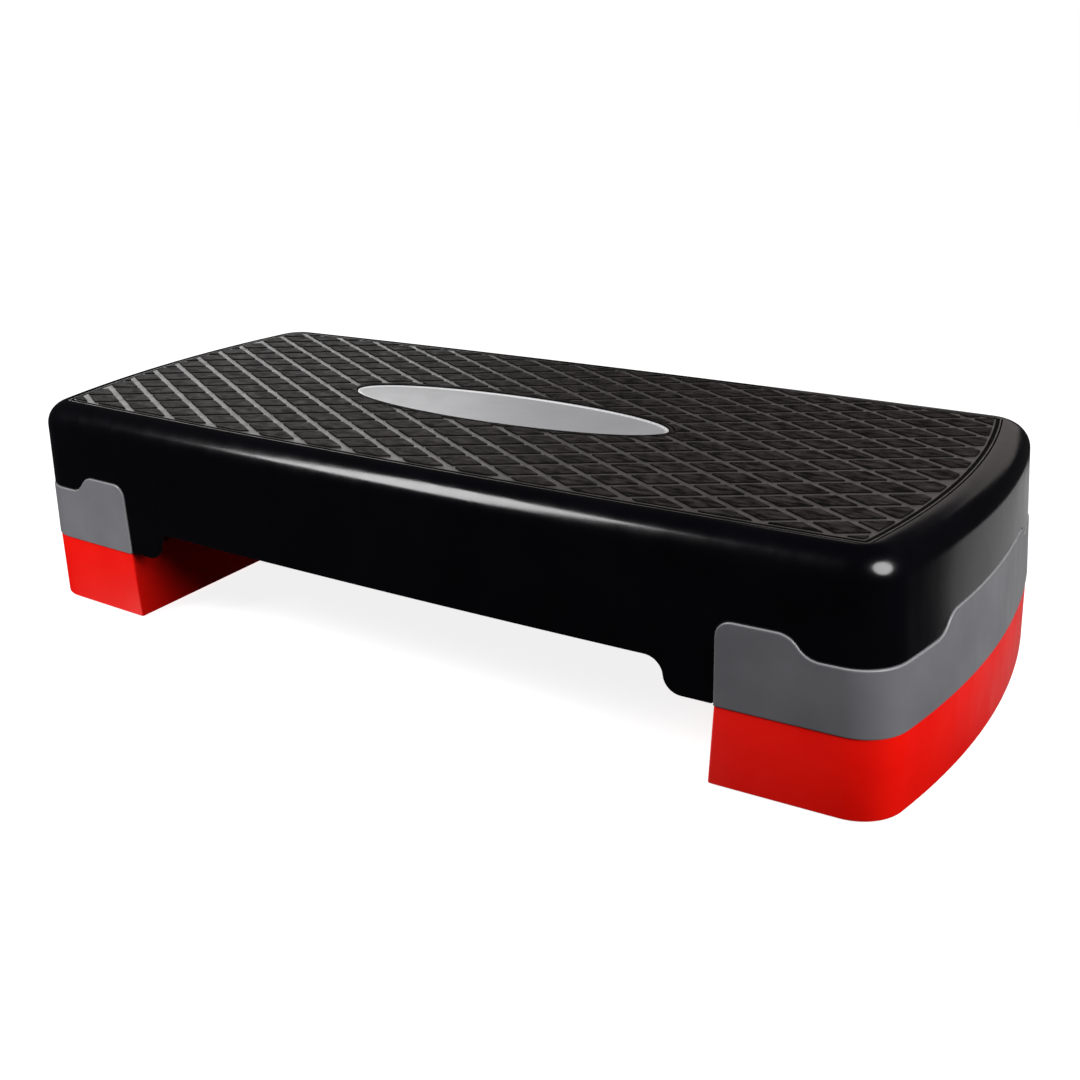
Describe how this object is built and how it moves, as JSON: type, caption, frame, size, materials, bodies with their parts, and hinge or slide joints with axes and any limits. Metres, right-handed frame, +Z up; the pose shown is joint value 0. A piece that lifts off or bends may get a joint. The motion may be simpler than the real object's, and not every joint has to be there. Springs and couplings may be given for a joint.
{
  "type": "aerobic step platform",
  "caption": "Low step platform for aerobic exercise: ribbed black deck with a grooved rubber tread, grey end collars and a plug-in red riser under each end.",
  "frame": {"origin": "on the floor, under the middle of the deck", "axes": "+X along the length to the right, +Y to the back, +Z up; the pictured front faces -Y"},
  "size_m": [0.6798, 0.292, 0.1495],
  "materials": {
    "deck_plastic": "moulded, semi-gloss, near black",
    "tread_rubber": "dark brown-grey, rough, with paler grooves",
    "badge_plastic": "satin, light grey",
    "collar_plastic": "satin, silver grey",
    "riser_plastic": "moulded, satin, bright red",
    "foot_rubber": "matt, black",
    "screw_steel": "zinc plated"
  },
  "bodies": {
    "left_riser": {"left_riser_block": "riser_plastic", "left_riser_foot_inner_front": "foot_rubber", "left_riser_foot_inner_back": "foot_rubber", "left_riser_foot_outer_front": "foot_rubber", "left_riser_foot_outer_back": "foot_rubber"},
    "deck": {"deck_shell": "deck_plastic", "tread_mat": "tread_rubber", "centre_badge": "badge_plastic", "left_end_collar": "collar_plastic", "left_collar_screws": "screw_steel", "right_end_collar": "collar_plastic", "right_collar_screws": "screw_steel", "deck_foot_left_front": "foot_rubber", "deck_foot_left_back": "foot_rubber", "deck_foot_right_front": "foot_rubber", "deck_foot_right_back": "foot_rubber"},
    "right_riser": {"right_riser_block": "riser_plastic", "right_riser_foot_inner_front": "foot_rubber", "right_riser_foot_inner_back": "foot_rubber", "right_riser_foot_outer_front": "foot_rubber", "right_riser_foot_outer_back": "foot_rubber"}
  },
  "joints": [
    {"name": "deck_lift", "type": "slide", "parent": "left_riser", "child": "deck", "axis": [0, 0, 1], "range_m": [0, 0.04]},
    {"name": "right_riser_pull", "type": "slide", "parent": "deck", "child": "right_riser", "axis": [0, 0, -1], "range_m": [0, 0.04]}
  ]
}
